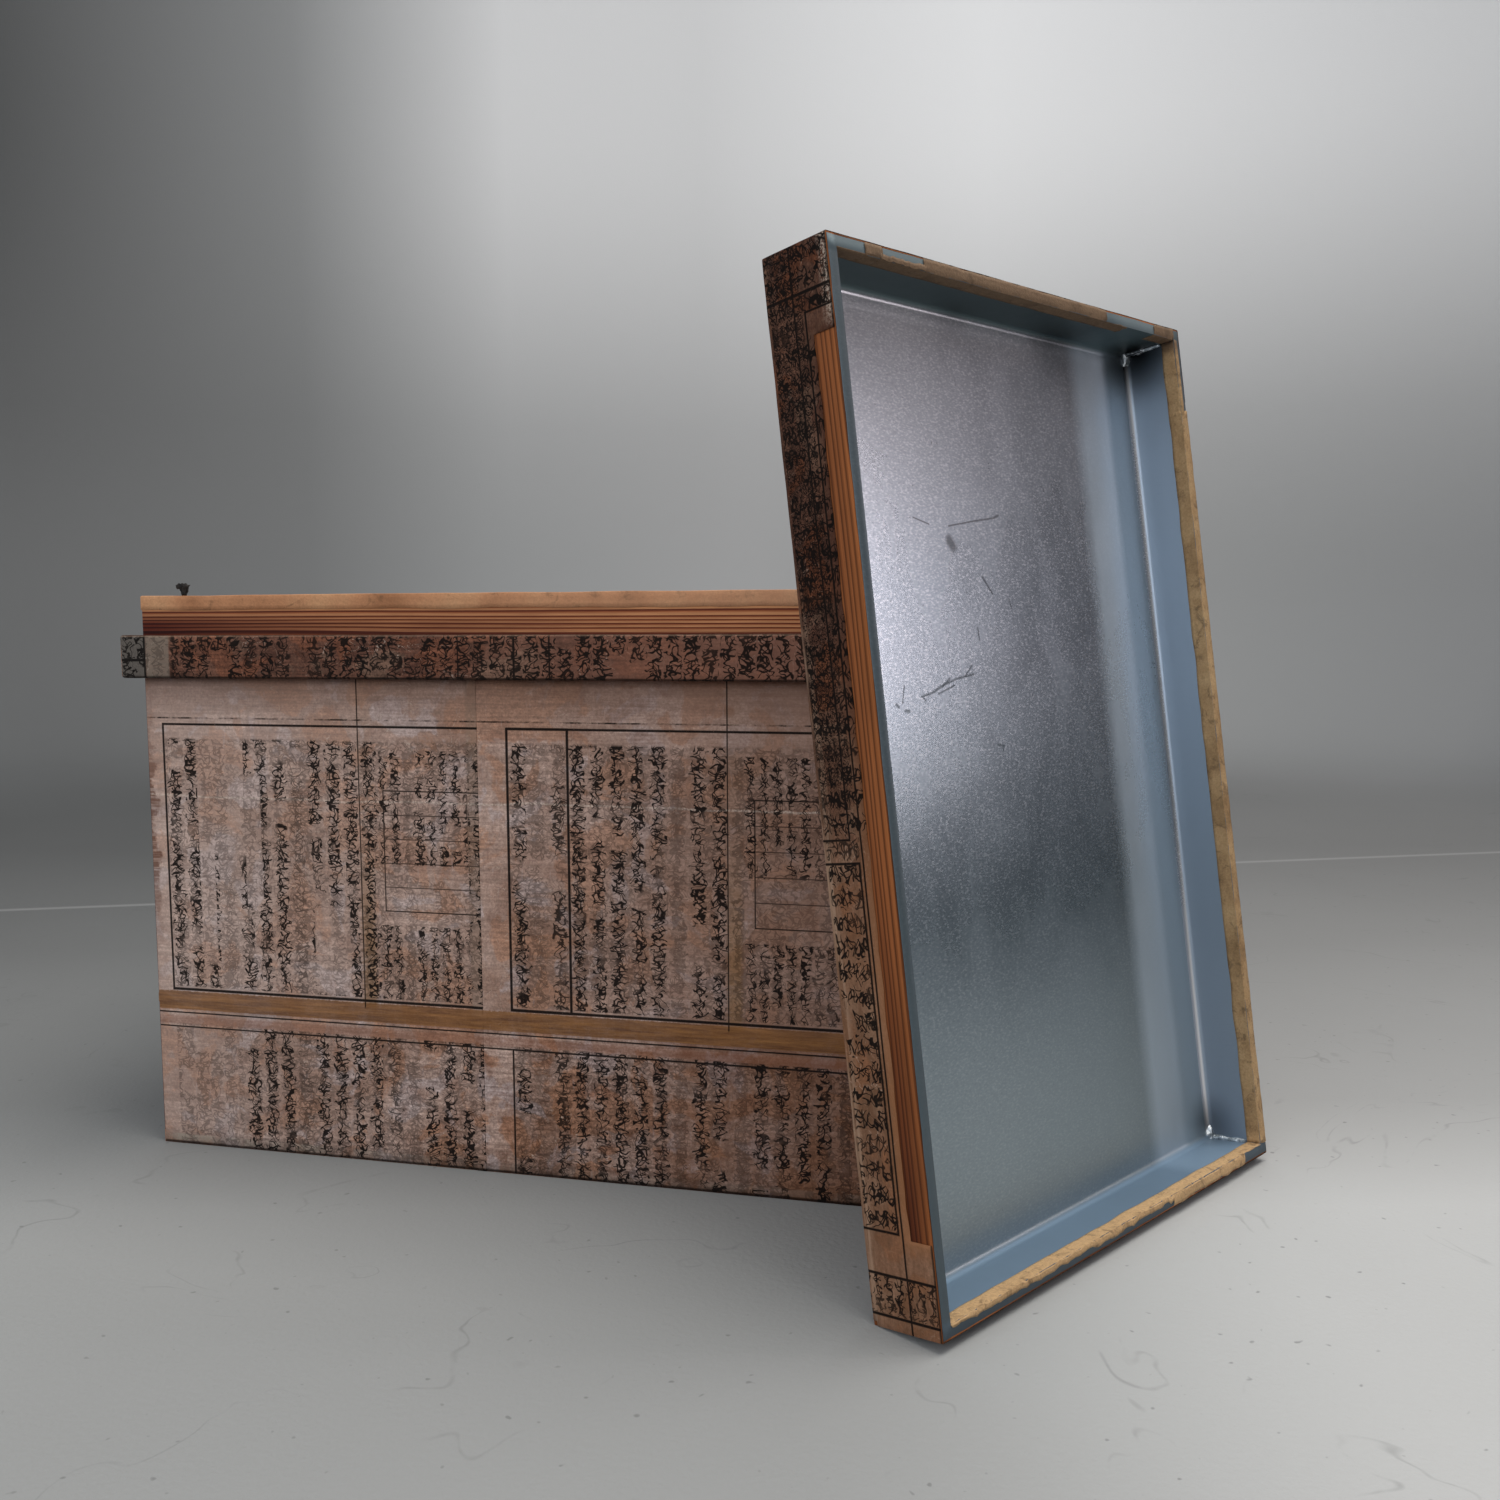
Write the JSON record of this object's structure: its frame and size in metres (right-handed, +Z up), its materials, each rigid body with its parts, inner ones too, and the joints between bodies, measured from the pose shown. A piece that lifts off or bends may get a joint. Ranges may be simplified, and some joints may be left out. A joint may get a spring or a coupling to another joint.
{
  "type": "tea chest",
  "caption": "Cedar tea chest with a soldered sheet metal liner and papered walls, open, its deep lined lift-off lid stood on end and leaning on the collar's corner.",
  "frame": {"origin": "middle of the chest's underside, on the surface that it stands on", "axes": "+X along the chest towards the open lid, +Y towards the chest's back, +Z up"},
  "size_m": [0.8753, 0.5886, 0.6425],
  "materials": {
    "chest_boards": "satin",
    "lid_boards": "satin",
    "collar_battens": "satin",
    "wall_paper": "satin",
    "collar_paper": "satin",
    "lid_paper": "satin",
    "kraft_tape": "matte",
    "zinc_coated_sheet": "satin",
    "solder": "satin",
    "iron_nails": "matte"
  },
  "bodies": {
    "chest": {"bottom_front_board": "chest_boards", "bottom_middle_board": "chest_boards", "bottom_back_board": "chest_boards", "front_lower_board": "chest_boards", "front_upper_board": "chest_boards", "back_lower_board": "chest_boards", "back_upper_board": "chest_boards", "left_lower_board": "chest_boards", "left_upper_board": "chest_boards", "right_lower_board": "chest_boards", "right_upper_board": "chest_boards", "collar_front_batten": "collar_battens", "collar_back_batten": "collar_battens", "collar_left_batten": "collar_battens", "collar_right_batten": "collar_battens", "wall_nails": "iron_nails", "bottom_nails": "iron_nails", "collar_nails": "iron_nails", "liner_walls": "zinc_coated_sheet", "liner_floor": "zinc_coated_sheet", "liner_solder": "solder", "front_paper": "wall_paper", "back_paper": "wall_paper", "left_paper": "wall_paper", "right_paper": "wall_paper", "collar_paper": "collar_paper", "neck_tape": "kraft_tape"},
    "lid": {"lid_front_wall": "lid_boards", "lid_back_wall": "lid_boards", "lid_left_end": "lid_boards", "lid_right_end": "lid_boards", "lid_front_top_board": "lid_boards", "lid_back_top_board": "lid_boards", "lid_wall_nails": "iron_nails", "lid_top_nails": "iron_nails", "lid_liner": "zinc_coated_sheet", "lid_solder": "solder", "lid_rim_tape": "kraft_tape", "lid_top_paper": "lid_paper", "lid_front_paper": "lid_paper", "lid_back_paper": "lid_paper", "lid_left_paper": "lid_paper", "lid_right_paper": "lid_paper"}
  },
  "joints": [
    {"name": "lid_lift", "type": "slide", "parent": "chest", "child": "lid", "axis": [0, 0, 1], "range_m": [0, 0.46]}
  ]
}
